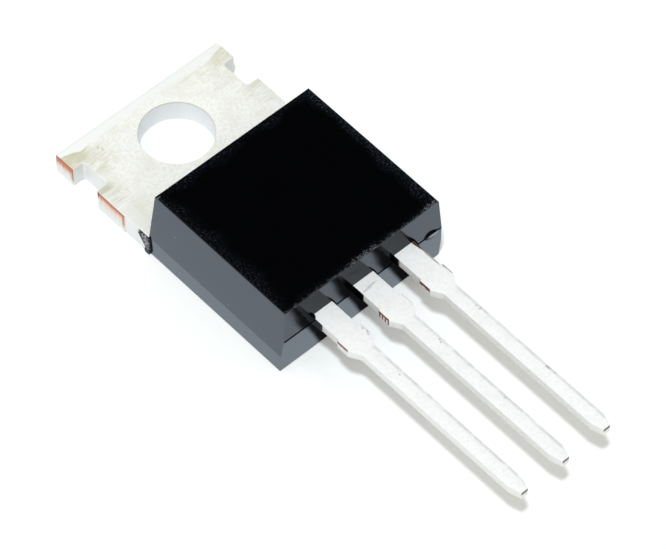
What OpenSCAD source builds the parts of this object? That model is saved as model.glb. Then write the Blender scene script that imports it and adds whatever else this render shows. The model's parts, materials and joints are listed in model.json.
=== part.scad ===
// Three-lead voltage regulator in a tab-mount power package, lying on its back.
// The stamped heat tab carries the chip, two free leads stand above it on the same
// plane as the ground lead, and one moulding holds them all.
// Origin: centre of the mounting hole on the back face. +X across the package,
// -Y towards the lead tips, +Z out of the back face.

/* [Moulded body] */
// Width of the moulding where it is widest, level with the top of the tab
body_w = 9.98; // [9:0.02:11.5]
// Length of the moulding at the parting line, from tab side to lead side
body_l = 9.3; // [8.8:0.02:11]
// Height of the moulding over the back face
body_h = 4.5; // [4.2:0.05:5.5]
// Draft of the two long sides, from the tab's top to the top face
draft_sides = 0.24; // [0:0.01:0.5]
// Draft of the two long sides, from the tab's top to the back face
draft_under = 0.03; // [0:0.01:0.2]
// Draft of the tab-side face, from the tab to the top face
draft_tab_end = 0.28; // [0:0.01:0.5]
// Draft of the lead-side face, from the parting line to the top face
draft_lead_end = 0.08; // [0:0.01:0.4]
// Draft of the lead-side face, from the parting line to the back face
draft_back = 0.22; // [0:0.01:0.4]
// Rounding of the moulding's long edges
edge_r = 0.07; // [0.02:0.01:0.15]

/* [Heat tab] */
// How far the tab's lugs stand out past the moulding's sides
lug_out = 0.06; // [0.05:0.01:0.3]
// Thickness of the tab
tab_t = 1.29; // [1:0.01:1.5]
// Length of tab that the moulding leaves bare
tab_out = 6.66; // [6:0.02:8]
// Diameter of the mounting hole
hole_d = 3.7; // [3:0.05:4]
// Mounting hole's centre to the tab's free end
hole_edge = 2.9; // [2.5:0.01:3.3]
// Length of each end lug, along the tab's edge
end_lug_l = 1.27; // [0.8:0.01:1.5]
// Length of each notch in the tab's long edges
notch_l = 1.73; // [1:0.01:2]
// Depth of each notch
notch_deep = 0.68; // [0.2:0.01:0.9]
// Length of each side lug, where the tie bars were cut
side_lug_l = 1.95; // [1:0.05:2.1]
// Step in the tab's edge from the side lug to the moulding
waist_step = 0.05; // [0:0.01:0.05]
// Width of the slope rolled down along the tab's free end
end_roll_l = 0.6; // [0.2:0.05:0.65]
// Drop of that slope at the free end
end_roll_drop = 0.09; // [0.05:0.01:0.25]
// Width of the slope rolled down at each end lug
lug_roll_l = 0.85; // [0.3:0.05:1.2]
// Drop of that slope at the lug's edge
lug_roll_drop = 0.03; // [0.02:0.01:0.2]

/* [Tab inside the moulding] */
// Thickness of moulding beside the slab that carries the chip
side_wall = 0.54; // [0.3:0.02:0.8]
// Step under the slab's rim that the moulding grips
lock_in = 0.35; // [0.1:0.05:0.6]
// Height of that step over the back face
lock_z = 0.55; // [0.3:0.05:0.8]
// Distance from the tab-side face to the groove across the slab
groove_in = 0.9; // [0.6:0.05:1.2]
// Depth of the groove
groove_deep = 0.25; // [0.1:0.05:0.4]
// Slope of the ground lead between the slab and the lead plane, in degrees
bend_slope = 45; // [40:1:60]
// Moulding's lead-side face to the top of that slope
bend_in = 1.05; // [0.8:0.05:1.4]
// Flat length of the ground lead between the slab and the slope
bend_flat = 0.17; // [0.12:0.01:0.6]
// Inside radius of the ground lead's two bends
bend_r = 0.25; // [0.15:0.05:0.3]

/* [Leads] */
// Distance between neighbouring leads
pitch = 2.54; // [2.3:0.01:2.8]
// Length of the leads outside the moulding
lead_l = 13.4; // [9:0.02:16]
// Thickness of the leads
lead_t = 0.48; // [0.35:0.01:0.6]
// Height of the leads' underside over the back face, where the mould parts
lead_z = 2.45; // [2.2:0.01:2.6]
// Width of the leads past the shoulder
lead_w = 0.8; // [0.6:0.01:1]
// Width of the leads beside the moulding
root_w = 1.25; // [1.1:0.01:1.6]
// Moulding to the cut dam bar
dam_out = 1.8; // [1:0.05:2.5]
// Length of the stubs that the dam bar left on the leads' edges
dam_l = 0.75; // [0.4:0.05:1]
// How far those stubs stand out
dam_stub = 0.1; // [0.02:0.01:0.15]
// Length of the shoulder, where a lead narrows
shoulder_l = 0.55; // [0.4:0.05:1]
// Width of a lead's tip
tip_w = 0.4; // [0.2:0.01:0.55]
// Length of the tapered tip
tip_l = 0.67; // [0.3:0.01:1.2]
// Width of the post that each outer lead has inside the moulding
post_w = 2.3; // [1.8:0.1:2.5]
// Length of that post
post_l = 1.6; // [1.2:0.1:2]
// Moulding face to the post
post_in = 0.55; // [0.4:0.05:0.8]
// Diameter of the hole in each post that the moulding fills
key_hole_d = 0.6; // [0.3:0.05:0.8]

/* [Chip and wires] */
// Width of the chip, across the package
chip_w = 2.6; // [1.5:0.1:3.4]
// Length of the chip
chip_l = 2.3; // [1.5:0.1:3]
// Thickness of the chip
chip_t = 0.3; // [0.2:0.01:0.4]
// Thickness of the solder under the chip
solder_t = 0.05; // [0.03:0.01:0.1]
// Solder showing round the chip
solder_rim = 0.12; // [0.05:0.01:0.3]
// Diameter of the bond wires
wire_d = 0.25; // [0.15:0.01:0.3]
// Rise of a wire's loop over the line between its ends, for the two lead wires
loop_rise = 0.9; // [0.5:0.05:1.1]
// Rise of the ground wire's loop
ground_rise = 0.6; // [0.4:0.05:0.9]
// Length of a wire's flattened foot
foot_l = 0.6; // [0.4:0.05:0.8]

/* [Moulding flash] */
// Thickness of the flash that the mould's joint left
flash_t = 0.04; // [0.03:0.01:0.08]
// How far the thin flash line stands out along the lead-side face
flash_out = 0.035; // [0.03:0.005:0.1]
// How far the torn flake stands out near the far corner
flake_out = 0.13; // [0.08:0.01:0.3]
// Length of that flake
flake_l = 1.15; // [0.6:0.05:1.5]
// Distance from the package's corner to the flake
flake_in = 0.1; // [0.05:0.05:0.5]
// Height of the flake's middle over the joint
flake_lip = 0.12; // [0.08:0.01:0.2]
// Width of the webs of flash beside the leads, at the moulding
web_t = 0.04; // [0.03:0.01:0.1]
// Length of those webs
web_l = 0.7; // [0.3:0.05:1]
// Width of the crumb of flash on the input lead's corner
crumb_w = 0.14; // [0.08:0.01:0.2]
// Thickness of the skin of flash on the tab's edge
skin_t = 0.09; // [0.05:0.01:0.15]

/* [Hidden] */

$fn = 64;
corner_steps = 5;                           // short edges in each rounded corner
over = 1;                                   // how far a cutting shape runs past what it cuts

tab_face = hole_edge - tab_out;             // y of the moulding's tab-side face, at the tab
lead_face = tab_face - body_l;              // y of its lead-side face, at the parting line
body_half = body_w / 2;
tab_half = body_half + lug_out;
waist_half = tab_half - waist_step;
pad_half = body_half - side_wall;
joint_half = body_half - draft_sides * (lead_z - tab_t) / (body_h - tab_t);
lead_top = lead_z + lead_t;
slope_top = lead_face + bend_in;            // y of the ground lead's upper bend
slope_foot = slope_top + (lead_top - tab_t) / tan(bend_slope);
pad_end = slope_foot + bend_flat;           // y of the slab's inner end
notch_start = hole_edge - end_lug_l;
notch_stop = notch_start - notch_l;
side_lug_stop = notch_stop - side_lug_l;
notch_r = 0.18;                             // rounding in a notch's inner corners
stamp_r = 0.05;                             // rounding of stamped outer corners
pad_corner = 0.8;                           // chamfer on the slab's inner corners
pad_mid = (tab_face + pad_end) / 2;         // y of the chip's centre
chip_bottom = tab_t + solder_t;
chip_top = chip_bottom + chip_t;
bond_in = 0.5;                              // chip's edge to the middle of a wire's foot
bond_spread = chip_w / 2 - 0.5;             // x of the outer feet on the chip
post_start = lead_face + post_in;
post_mid = post_start + post_l / 2;
foot_h = 0.2;                               // height of a wire's foot
foot_w = wire_d + 0.1;                      // width of a wire's foot
flake_parts = 8;                            // steps along the torn flake

// Adds up the vectors of a direction to length one
function unit(v) = v / norm(v);

// Points of a rounded corner at b, between the points a and c, with radius r
function corner(a, b, c, r) =
    r <= 0 ? [b] :
    let (
        back = unit(a - b), ahead = unit(c - b),
        half = acos(back * ahead) / 2,
        mid = b + unit(back + ahead) * r / sin(half),
        first = b + back * r / tan(half) - mid,
        last = b + ahead * r / tan(half) - mid,
        from = atan2(first[1], first[0]),
        turn = (atan2(last[1], last[0]) - from + 540) % 360 - 180
    )
    [for (i = [0 : corner_steps])
        let (at = from + turn * i / corner_steps) mid + r * [cos(at), sin(at)]];

// Outline through points [x, y, radius], each corner rounded by its own radius
function soften(p) =
    let (n = len(p), xy = [for (q = p) [q[0], q[1]]])
    [for (i = [0 : n - 1]) each
        corner(xy[(i + n - 1) % n], xy[i], xy[(i + 1) % n], p[i][2])];

// Right-hand side points, followed by the same points mirrored to the left
function both_sides(p) =
    let (n = len(p)) concat(p, [for (i = [n - 1 : -1 : 0]) [-p[i][0], p[i][1], p[i][2]]]);

// Extrudes an outline drawn as [y, z] along X, centred, over the width w
module across(w) {
    translate([-w / 2, 0, 0]) rotate([90, 0, 90]) linear_extrude(w) children();
}

// Extrudes an outline drawn as [x, z] along Y, between two places
module along(y0, y1) {
    translate([0, y1, 0]) rotate([90, 0, 0]) linear_extrude(y1 - y0) children();
}

// Moulded body

// End view of the moulding, with its drafted sides
module body_end_view() {
    polygon(soften(both_sides([
        [body_half - draft_sides, body_h, edge_r],
        [body_half, tab_t, 0],
        [body_half - draft_under, 0, edge_r]
    ])));
}

// Side view of the moulding, with the drafted end faces
module body_side_view() {
    polygon(soften([
        [tab_face, 0, 0],
        [tab_face, tab_t, 0],
        [tab_face - draft_tab_end, body_h, edge_r],
        [lead_face + draft_lead_end, body_h, edge_r],
        [lead_face, lead_z, 0],
        [lead_face + draft_back, 0, edge_r]
    ]));
}

// Flash at the mould's joint: a thin line along the lead-side face
module joint_flash() {
    half = joint_half - flash_t;
    translate([-half, lead_face - flash_out, lead_z - flash_t])
        cube([2 * half, over, flash_t]);
}

// Places along the flake, each with its share of the flake's height and thickness
function flake_steps(start, stop) =
    [for (i = [0 : flake_parts])
        let (share = i / flake_parts) [start + (stop - start) * share, sin(180 * share)]];

// Torn flake on that line: a leaf with an upright face, thickest and tallest in the middle
module joint_flake() {
    stop = joint_half - flake_in;
    steps = flake_steps(stop - flake_l, stop);
    rooted = lead_face + flash_t;           // the flake's ends lie inside the moulding
    intersection() {
        translate([0, 0, lead_z - over])
            linear_extrude(2 * over)
                polygon([
                    [stop - flake_l, lead_face + over],
                    for (s = steps) [s[0], rooted - (flash_t + flake_out) * s[1]],
                    [stop, lead_face + over]
                ]);
        along(lead_face - over, lead_face + 2 * over)
            polygon([
                for (s = steps) [s[0], lead_z - flake_lip * s[1]],
                for (i = [flake_parts - 1 : -1 : 1])
                    [steps[i][0], lead_z + flake_lip * steps[i][1]]
            ]);
    }
}

// Web of flash in the corner between a lead's edge and the moulding, thinning away from the face
module corner_flash(x, side, wide, long) {
    edge = x + side * root_w / 2;
    translate([0, 0, lead_z - flash_t])
        linear_extrude(lead_t + flash_t)
            polygon([
                [edge, lead_face + over],
                [edge, lead_face - long],
                [edge + side * wide * 0.5, lead_face - long * 0.8],
                [edge + side * wide, lead_face - long * 0.15],
                [edge + side * wide, lead_face + over]
            ]);
}

// Crumb of flash on the corner of a lead's top, grown from the web beside it
module corner_crumb(x, side, size) {
    edge = x + side * (root_w / 2 + web_t / 2);
    translate([0, 0, lead_top - flash_t])
        linear_extrude(flash_t + size / 3)
            polygon([
                [edge, lead_face + over],
                [edge, lead_face - size],
                [edge - side * size * 0.6, lead_face - size * 1.2],
                [edge - side * size, lead_face - size * 0.5],
                [edge - side * size * 0.8, lead_face + over]
            ]);
}

// Torn skin of moulding compound on the tab's left edge, with a crumb below it
module edge_skin() {
    root = tab_face - 0.06;
    translate([-waist_half - skin_t, 0, 0])
        rotate([90, 0, 90])
            linear_extrude(skin_t + waist_half - body_half + over / 2)
                polygon([
                    [root, 0.1], [tab_face + 0.12, 0.05],
                    [tab_face + 0.26, 0.12], [tab_face + 0.27, 0.27],
                    [tab_face + 0.12, 0.38], [tab_face + 0.3, 0.6],
                    [tab_face + 0.48, 0.84], [tab_face + 0.68, tab_t * 0.84],
                    [tab_face + 0.66, tab_t * 0.99], [root, tab_t * 0.99]
                ]);
}

module moulded_body() {
    color([0.09, 0.09, 0.1])
        difference() {
            union() {
                intersection() {
                    along(lead_face - over, tab_face + over) body_end_view();
                    across(body_w + 2 * over) body_side_view();
                }
                joint_flash();
                joint_flake();
                for (x = [-pitch, 0]) corner_flash(x, -1, web_t, web_l);
                corner_flash(pitch, -1, web_t, web_l / 2);
                for (x = [-pitch, 0, pitch]) corner_flash(x, 1, 2 * web_t, web_l / 2);
                corner_crumb(-pitch, -1, crumb_w);
                edge_skin();
            }
            heat_tab_with_ground_lead();
            input_lead();
            output_lead();
            chip();
            chip_solder();
            input_wire();
            output_wire();
            ground_wire();
        }
}

// Heat tab and ground lead

// Bare part of the tab, with its lugs and notches
module tab_outline() {
    polygon(soften(both_sides([
        [tab_half, hole_edge, stamp_r],
        [tab_half, notch_start, stamp_r],
        [tab_half - notch_deep, notch_start, notch_r],
        [tab_half - notch_deep, notch_stop, notch_r],
        [tab_half, notch_stop, stamp_r],
        [tab_half, side_lug_stop, 0],
        [waist_half, side_lug_stop, 0],
        [waist_half, tab_face, 0]
    ])));
}

// Slab inside the moulding: inset by the step under its rim, or at its full width
module slab_outline(inset) {
    half = pad_half - inset;
    stop = pad_end + inset;
    polygon(soften(both_sides([
        [half, tab_face + over, 0],
        [half, stop + pad_corner, notch_r],
        [half - pad_corner, stop, notch_r]
    ])));
}

// Slopes that stamping rolled down along the free end and at both end lugs
module rolled_slopes() {
    end_run = end_roll_l + over;
    end_angle = atan(end_roll_drop / end_roll_l);
    lug_angle = atan(lug_roll_drop / lug_roll_l);
    translate([0, hole_edge - end_roll_l, tab_t])
        rotate([-end_angle, 0, 0])
            translate([-tab_half - over, 0, 0]) cube([2 * (tab_half + over), end_run, over]);
    for (side = [0, 1]) mirror([side, 0, 0])
        translate([tab_half - lug_roll_l, 0, tab_t])
            rotate([0, lug_angle, 0])
                translate([0, notch_start - notch_l / 2, 0])
                    cube([lug_roll_l + over, end_lug_l + notch_l, over]);
}

// Side view of the ground lead inside the moulding, bent from the slab to the lead plane
module bend_side_view() {
    lean = lead_t * tan(bend_slope / 2);    // how far the underside's bends lag the top's
    polygon(soften([
        [pad_end + over, tab_t, 0],
        [slope_foot, tab_t, bend_r],
        [slope_top, lead_top, bend_r + lead_t],
        [lead_face - dam_out / 2, lead_top, 0],
        [lead_face - dam_out / 2, lead_z, 0],
        [slope_top - lean, lead_z, bend_r],
        [slope_foot - lean, tab_t - lead_t, bend_r + lead_t],
        [pad_end + over, tab_t - lead_t, 0]
    ]));
}

// Half of a lead's outline outside the moulding, from the moulding to the tip
function lead_points(start) =
    let (
        root = root_w / 2, shaft = lead_w / 2,
        dam_start = lead_face - dam_out, dam_stop = dam_start - dam_l,
        shoulder_stop = dam_stop - shoulder_l, tip = lead_face - lead_l
    )
    [
        [root, start, 0],
        [root, dam_start, 0],
        [root + dam_stub, dam_start, 0],
        [root + dam_stub, dam_stop, 0.1],
        [shaft, shoulder_stop, 0.3],
        [shaft, tip + tip_l, 0.2],
        [tip_w / 2, tip, 0.04]
    ];

module lead_blank(start) {
    translate([0, 0, lead_z])
        linear_extrude(lead_t) polygon(soften(both_sides(lead_points(start))));
}

module heat_tab_with_ground_lead() {
    color([0.86, 0.86, 0.83])
        difference() {
            union() {
                linear_extrude(tab_t) tab_outline();
                linear_extrude(tab_t) slab_outline(lock_in);
                translate([0, 0, lock_z]) linear_extrude(tab_t - lock_z) slab_outline(0);
                across(root_w) bend_side_view();
                lead_blank(lead_face);
            }
            translate([0, 0, -over]) cylinder(d = hole_d, h = tab_t + 2 * over);
            rolled_slopes();
            across(2 * (pad_half + over))
                translate([tab_face - groove_in, tab_t])
                    rotate(45) square(groove_deep * sqrt(2), center = true);
        }
}

// Input and output leads

// Outer lead: a wide post inside the moulding, keyed by a hole, then the bare lead
module outer_lead() {
    difference() {
        union() {
            lead_blank(post_mid);
            translate([0, 0, lead_z])
                linear_extrude(lead_t)
                    polygon(soften(both_sides([
                        [post_w / 2, post_start + post_l, 0.3],
                        [post_w / 2, post_start, 0.15],
                        [root_w / 2, post_start, 0.15],
                        [root_w / 2, lead_face, 0]
                    ])));
        }
        translate([0, post_start + key_hole_d / 2, lead_z - over])
            cylinder(d = key_hole_d, h = lead_t + 2 * over);
    }
}

module input_lead() {
    color([0.88, 0.88, 0.86]) translate([-pitch, 0, 0]) outer_lead();
}

module output_lead() {
    color([0.88, 0.88, 0.86]) translate([pitch, 0, 0]) outer_lead();
}

// Chip, its solder and the bond wires

module chip() {
    color([0.3, 0.32, 0.36])
        translate([-chip_w / 2, pad_mid - chip_l / 2, chip_bottom])
            cube([chip_w, chip_l, chip_t]);
}

module chip_solder() {
    color([0.62, 0.62, 0.6])
        translate([-chip_w / 2 - solder_rim, pad_mid - chip_l / 2 - solder_rim, tab_t])
            cube([chip_w + 2 * solder_rim, chip_l + 2 * solder_rim, solder_t]);
}

// Wire looped between two feet; a and b are the points under the middle of each foot
module bond_wire(a, b, rise) {
    lift = [0, 0, foot_h * 0.65];           // height of the wire's axis over its feet
    from = a + lift;
    span = b - a;
    reach = norm(span);
    heading = atan2(span[1], span[0]);
    climb = asin(span[2] / reach);
    loop_r = (reach * reach / 4 + rise * rise) / (2 * rise);
    half = asin(reach / 2 / loop_r);
    for (foot = [a, b])
        translate(foot) rotate([0, 0, heading])
            translate([-foot_l / 2, 0, 0]) rotate([90, 0, 90])
                linear_extrude(foot_l)
                    polygon(soften([
                        [-foot_w / 2, 0, 0], [foot_w / 2, 0, 0],
                        [foot_w / 2, foot_h, foot_h / 2], [-foot_w / 2, foot_h, foot_h / 2]
                    ]));
    translate(from + span / 2)
        rotate([0, -climb, heading])
            translate([0, 0, rise - loop_r])
                rotate([90, 0, 0]) rotate([0, 0, 90 - half])
                    rotate_extrude(angle = 2 * half)
                        translate([loop_r, 0]) circle(d = wire_d, $fn = 24);
}

// Wire from the chip to an outer lead's post; side is -1 for the input and 1 for the output
module lead_wire(side) {
    color([0.82, 0.83, 0.85])
        bond_wire(
            [side * bond_spread, pad_mid - chip_l / 2 + bond_in, chip_top],
            [side * pitch, post_start + post_l - bond_in, lead_top],
            loop_rise
        );
}

module input_wire() { lead_wire(-1); }

module output_wire() { lead_wire(1); }

module ground_wire() {
    color([0.82, 0.83, 0.85])
        bond_wire(
            [0, pad_mid - chip_l / 2 + bond_in, chip_top],
            [0, pad_end + bond_in, tab_t],
            ground_rise
        );
}

moulded_body();
heat_tab_with_ground_lead();
input_lead();
output_lead();
chip();
chip_solder();
input_wire();
output_wire();
ground_wire();
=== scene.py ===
"""Finishes a three-lead voltage regulator: plating, moulding compound, stage and camera."""
import json
import math

import bpy
from mathutils import Matrix, Vector


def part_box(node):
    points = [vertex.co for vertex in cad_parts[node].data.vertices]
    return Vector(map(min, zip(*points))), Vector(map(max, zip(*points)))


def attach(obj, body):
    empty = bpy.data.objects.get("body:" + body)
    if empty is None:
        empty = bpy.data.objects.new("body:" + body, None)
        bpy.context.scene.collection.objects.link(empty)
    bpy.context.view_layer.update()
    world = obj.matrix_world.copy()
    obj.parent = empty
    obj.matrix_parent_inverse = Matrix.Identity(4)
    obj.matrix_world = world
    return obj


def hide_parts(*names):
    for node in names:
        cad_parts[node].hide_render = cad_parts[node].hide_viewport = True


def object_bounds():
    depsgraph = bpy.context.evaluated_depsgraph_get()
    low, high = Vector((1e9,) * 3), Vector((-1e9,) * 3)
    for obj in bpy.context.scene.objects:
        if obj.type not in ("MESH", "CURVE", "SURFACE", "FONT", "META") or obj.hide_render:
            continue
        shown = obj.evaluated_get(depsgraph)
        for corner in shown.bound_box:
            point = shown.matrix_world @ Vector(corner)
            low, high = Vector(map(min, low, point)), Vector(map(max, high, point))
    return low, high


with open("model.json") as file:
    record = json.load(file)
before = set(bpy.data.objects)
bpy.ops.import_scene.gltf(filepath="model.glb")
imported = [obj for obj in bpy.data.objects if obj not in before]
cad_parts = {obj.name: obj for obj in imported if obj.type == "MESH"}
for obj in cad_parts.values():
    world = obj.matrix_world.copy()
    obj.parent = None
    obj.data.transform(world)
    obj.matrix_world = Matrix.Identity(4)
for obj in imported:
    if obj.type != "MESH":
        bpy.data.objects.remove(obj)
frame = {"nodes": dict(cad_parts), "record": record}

bl_info = {
    "name": "Voltage Regulator Finish",
    "version": (1, 0, 0),
    "blender": (4, 5, 0),
    "location": "3D Viewport > Sidebar > Regulator",
    "description": "Finishes a tab-mount voltage regulator and sets it on a white table",
    "category": "Object",
}

CAD_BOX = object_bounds()
MM = 0.001

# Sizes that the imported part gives, in millimetres
BODY_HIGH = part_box("moulded_body")[1] / MM
TAB_LOW, TAB_HIGH = [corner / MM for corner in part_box("heat_tab_with_ground_lead")]
LEAD_LOW, LEAD_HIGH = [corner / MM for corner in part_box("input_lead")]
MOUNTS = {mount["name"]: mount for mount in frame["record"]["mounts"]}
HOLE_R = MOUNTS["mounting_hole"]["dims"]["r_mm"]
TAB_T = MOUNTS["mounting_hole"]["dims"]["length_mm"]
TAB_HALF = TAB_HIGH.x
TAB_END = TAB_HIGH.y
BODY_TOP = BODY_HIGH.z
LEAD_TOP = LEAD_HIGH.z
JOINT_Z = LEAD_LOW.z
PITCH = -(LEAD_LOW.x + LEAD_HIGH.x) / 2
TIP_Y = TAB_LOW.y

# Places along the part, in millimetres
LEAD_FACE = TIP_Y + 13.4
TAB_FACE = TAB_END - 6.66
SLOPE_FOOT = TAB_END - 0.6
END_LUG_STOP = TAB_END - 1.27
SIDE_LUG_START = END_LUG_STOP - 1.73
SIDE_LUG_STOP = SIDE_LUG_START - 1.95
DAM_START = LEAD_FACE - 1.8
DAM_STOP = DAM_START - 0.75

# Half widths across the part, in millimetres
BODY_HALF = 4.99
ROOT_HALF = 0.625
STUB_HALF = ROOT_HALF + 0.1
SHAFT_HALF = 0.4

# Sizes of the finishes, in millimetres
GRAIN_RIM_LEFT, GRAIN_RIM_RIGHT, GRAIN_RIM_TAB_END, GRAIN_RIM_LEAD_END = 1.1, 0.9, 0.9, 0.5
COPPER_BAR_PITCH = 0.19
CELL_SIZE, CELL_GAP = 0.2, 0.012
MERGE_DISTANCE = 0.01

# Pattern size that leaves the height out of a distance
FLATTENED = (1, 1, 99)

# Angles that sort edges when a copy is rounded
FLAT_ANGLE = math.radians(0.3)
ROUNDED_ANGLE = math.radians(35)
SMOOTH_ANGLE = math.radians(30)

# The room: lengths in metres, and directions from the part
TABLE_SIZE = 4
KEY_FROM = (-0.69, -0.57, 2.45)
KEY_DISTANCE = 0.5
KEY_WIDTH = math.radians(5.5)
UNLIT_END = (0.4, 0.43, 0.81)
NEAREST_SEEN, FURTHEST_SEEN = 0.001, 10
WHITE = (0.985, 1, 1, 1)

# Places of the Mix node's colour sockets, whose names it has more than once
COLOUR_FACTOR, COLOUR_A, COLOUR_B, COLOUR_RESULT = 0, 6, 7, 2


class Link:
    """A socket of a node tree, on which Python's arithmetic adds Math nodes."""

    def __init__(self, recipe, socket):
        self.recipe = recipe
        self.socket = socket

    def other(self, name):
        """Another output of the same node."""
        return Link(self.recipe, self.socket.node.outputs[name])

    def maths(self, operation, *values):
        """One Math node on the given values."""
        return self.recipe.node("ShaderNodeMath", {"operation": operation}, dict(enumerate(values)))

    def __mod__(self, value):
        return self.maths("FLOORED_MODULO", self, value)

    def __add__(self, value):
        return self.maths("ADD", self, value)

    def __radd__(self, value):
        return self.maths("ADD", value, self)

    def __sub__(self, value):
        return self.maths("SUBTRACT", self, value)

    def __rsub__(self, value):
        return self.maths("SUBTRACT", value, self)

    def __mul__(self, value):
        return self.maths("MULTIPLY", self, value)

    def __rmul__(self, value):
        return self.maths("MULTIPLY", value, self)

    def __truediv__(self, value):
        return self.maths("DIVIDE", self, value)

    def __rtruediv__(self, value):
        return self.maths("DIVIDE", value, self)

    def __abs__(self):
        return self.maths("ABSOLUTE", self)

    def __or__(self, value):
        """The greater of two masks."""
        return self.maths("MAXIMUM", self, value)

    def __and__(self, value):
        """The lesser of two masks."""
        return self.maths("MINIMUM", self, value)


class Recipe:
    """A node tree that is written as expressions."""

    def __init__(self, owner):
        self.owner = owner
        owner.use_nodes = True
        self.tree = owner.node_tree
        self.tree.nodes.clear()

    def node(self, kind, settings=None, inputs=None, out=0):
        """Adds a node: its settings first, then the values or links of its sockets."""
        made = self.tree.nodes.new(kind)
        for name, value in (settings or {}).items():
            setattr(made, name, value)
        for name, value in (inputs or {}).items():
            socket = made.inputs[name]
            if isinstance(value, Link):
                self.tree.links.new(value.socket, socket)
            else:
                socket.default_value = value
        return Link(self, made.outputs[out]) if made.outputs else made

    def surface(self, shader):
        """Ends the tree with the given shader."""
        for_world = isinstance(self.owner, bpy.types.World)
        kind = "ShaderNodeOutputWorld" if for_world else "ShaderNodeOutputMaterial"
        self.node(kind, {}, {"Surface": shader})
        return self.owner

    def finish(self, sockets):
        """Ends the tree with the main shader."""
        return self.surface(self.node("ShaderNodeBsdfPrincipled", {}, sockets))

    def spot(self):
        """The place on the piece as a vector in millimetres."""
        place = self.node("ShaderNodeTexCoord", out="Object")
        return self.node("ShaderNodeVectorMath", {"operation": "SCALE"}, {0: place, "Scale": 1 / MM})

    def split(self, vector):
        """The three numbers of a vector."""
        parts = self.node("ShaderNodeSeparateXYZ", {}, {0: vector})
        return parts, parts.other(1), parts.other(2)

    def facing(self):
        """The three numbers of the surface's normal."""
        return self.split(self.node("ShaderNodeTexCoord", out="Normal"))

    def stretch(self, vector, sizes, shift=(0, 0, 0)):
        """The vector, moved and then divided by the size of a pattern along each axis."""
        moved = self.node("ShaderNodeVectorMath", {"operation": "ADD"}, {0: vector, 1: shift})
        return self.node("ShaderNodeVectorMath", {"operation": "DIVIDE"}, {0: moved, 1: sizes})

    def length(self, vector):
        """How long the vector is."""
        return self.node("ShaderNodeVectorMath", {"operation": "LENGTH"}, {0: vector}, out="Value")

    def noise(self, vector, sizes, detail=2.0, shift=(0, 0, 0), rough=0.5):
        """Cloudy noise around 0.5, with features of the given sizes in millimetres."""
        return self.node("ShaderNodeTexNoise", {"noise_dimensions": "3D"}, {
            "Vector": self.stretch(vector, sizes, shift),
            "Scale": 1.0,
            "Detail": detail,
            "Roughness": rough,
        })

    def rise(self, value, start, stop):
        """Climbs smoothly from 0 at start to 1 at stop, which may lie below start."""
        settings = {"interpolation_type": "SMOOTHSTEP"}
        if start < stop:
            return self.node("ShaderNodeMapRange", settings, {0: value, 1: start, 2: stop, 3: 0.0, 4: 1.0})
        return self.node("ShaderNodeMapRange", settings, {0: value, 1: stop, 2: start, 3: 1.0, 4: 0.0})

    def within(self, value, low, high, soft):
        """1 between low and high, falling to 0 over the distance soft."""
        return self.rise(value, low - soft, low) & self.rise(value, high + soft, high)

    def marks(self, spot, places, sizes):
        """Small oval marks of the given half sizes in millimetres, one at each place."""
        found = 0.0
        for place in places:
            away = self.length(self.stretch(spot, sizes, [-value for value in place]))
            found = self.rise(away, 1.0, 0.5) | found
        return found

    def mix(self, mask, under, over):
        """One colour laid over another by a mask."""
        sockets = {COLOUR_FACTOR: mask, COLOUR_A: as_colour(under), COLOUR_B: as_colour(over)}
        return self.node("ShaderNodeMix", {"data_type": "RGBA"}, sockets, out=COLOUR_RESULT)

    def blend(self, mask, under, over):
        """One number laid over another by a mask."""
        return under + mask * (over - under)

    def bump(self, height, depth, strength=1.0):
        """A normal from a height of 0 to 1 that stands for a depth in millimetres."""
        sockets = {"Height": height, "Distance": depth * MM, "Strength": strength}
        return self.node("ShaderNodeBump", {}, sockets, out="Normal")


def as_colour(value):
    """A link as it is, or a colour with its alpha."""
    return value if isinstance(value, Link) else (*value, 1.0)


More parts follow.
